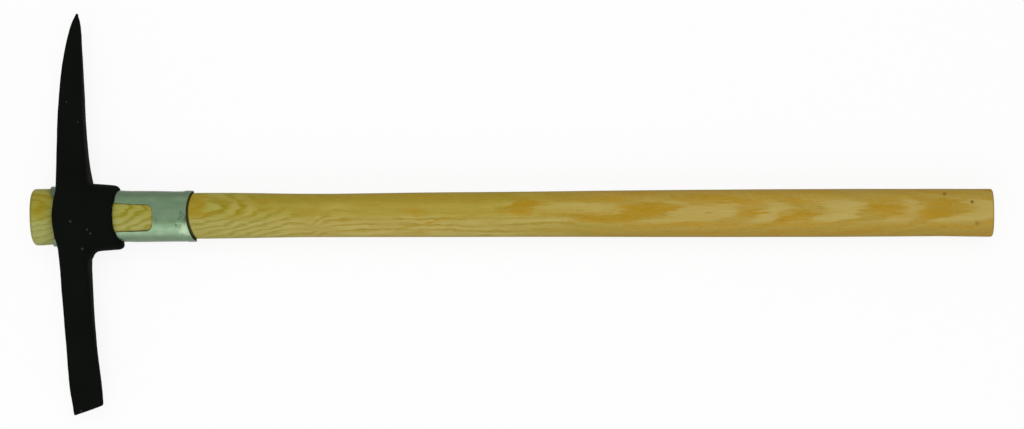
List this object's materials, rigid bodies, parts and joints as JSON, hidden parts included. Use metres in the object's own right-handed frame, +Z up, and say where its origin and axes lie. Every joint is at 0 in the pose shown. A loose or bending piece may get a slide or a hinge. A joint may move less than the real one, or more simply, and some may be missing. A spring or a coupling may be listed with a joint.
{
  "type": "pick axe",
  "caption": "Pick axe with a black forged head, a point on one side and a narrow cutter on the other, on an oval ash handle shod with a nailed sheet steel sleeve.",
  "frame": {"origin": "centre of the base of the box round the tool as it lies on its side", "axes": "+X along the handle from the head to the butt, +Y along the head towards the point, +Z up through the broad faces of the handle"},
  "size_m": [0.9168, 0.389, 0.0526],
  "materials": {
    "black_paint": "matt black paint on forged steel",
    "ash": "lacquered ash, honey yellow",
    "zinc_sheet": "dull galvanised sheet, slightly dented",
    "nail_steel": "bright wire nail"
  },
  "bodies": {
    "handle": {"handle": "ash", "sleeve": "zinc_sheet", "nail_front": "nail_steel", "nail_rear": "nail_steel"},
    "head": {"pick_head": "black_paint"}
  },
  "joints": [
    {"name": "head_slide", "type": "slide", "parent": "handle", "child": "head", "axis": [1, 0, 0], "range_m": [0, 0.9]}
  ]
}
